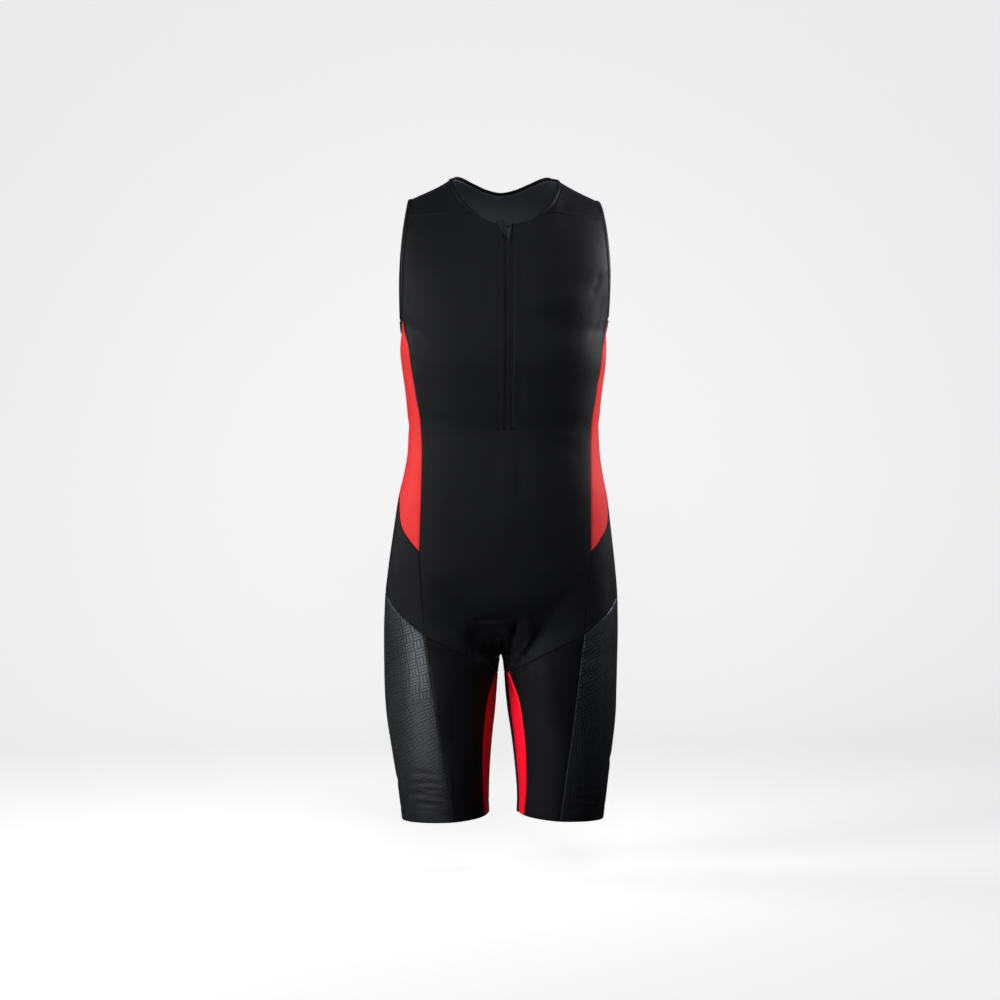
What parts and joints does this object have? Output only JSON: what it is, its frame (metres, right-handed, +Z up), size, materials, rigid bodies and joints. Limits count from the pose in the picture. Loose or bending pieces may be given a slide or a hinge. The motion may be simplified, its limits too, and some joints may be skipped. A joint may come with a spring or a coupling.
{
  "type": "sleeveless triathlon suit",
  "caption": "Sleeveless short-legged triathlon suit in knitted cloth with a front zip, side panels and a crotch pad, filled out as worn.",
  "frame": {"origin": "midway between the shoulders at mid shoulder height, where the wearer's shoulders carry the suit", "axes": "+Z up from the legs to the neck, -Y out of the front, +X to the wearer's left"},
  "size_m": [0.3511, 0.2341, 0.9646],
  "materials": {
    "black_knit": "smooth knit with a low sheen",
    "red_knit": "smooth knit",
    "inner_red_knit": "smooth knit",
    "printed_knit": "smooth knit with a tonal print",
    "binding_knit": "folded knit binding",
    "zip_black": "woven tape and nylon coil",
    "zip_metal": "dark grey enamel",
    "pad_foam": "brushed knit over foam"
  },
  "bodies": {
    "suit": {"front": "black_knit", "back": "black_knit", "side_panel_left": "red_knit", "side_panel_right": "red_knit", "hip_left": "black_knit", "hip_right": "black_knit", "thigh_left": "printed_knit", "thigh_right": "printed_knit", "leg_front_left": "black_knit", "leg_front_right": "black_knit", "inner_leg_left": "inner_red_knit", "inner_leg_right": "inner_red_knit", "leg_back_left": "black_knit", "leg_back_right": "black_knit", "neck_binding": "binding_knit", "armhole_binding_left": "binding_knit", "armhole_binding_right": "binding_knit", "zip_tape_left": "zip_black", "zip_tape_right": "zip_black", "zip_coil": "zip_black", "zip_garage": "binding_knit", "zip_slider": "zip_metal", "pad": "pad_foam"},
    "pull": {"zip_pull": "zip_metal"}
  },
  "joints": [
    {"name": "pull_swing", "type": "hinge", "parent": "suit", "child": "pull", "pos_m": [0, -0.09778, -0.06369], "axis": [-1, 0, 0], "range_deg": [0, 120]}
  ]
}
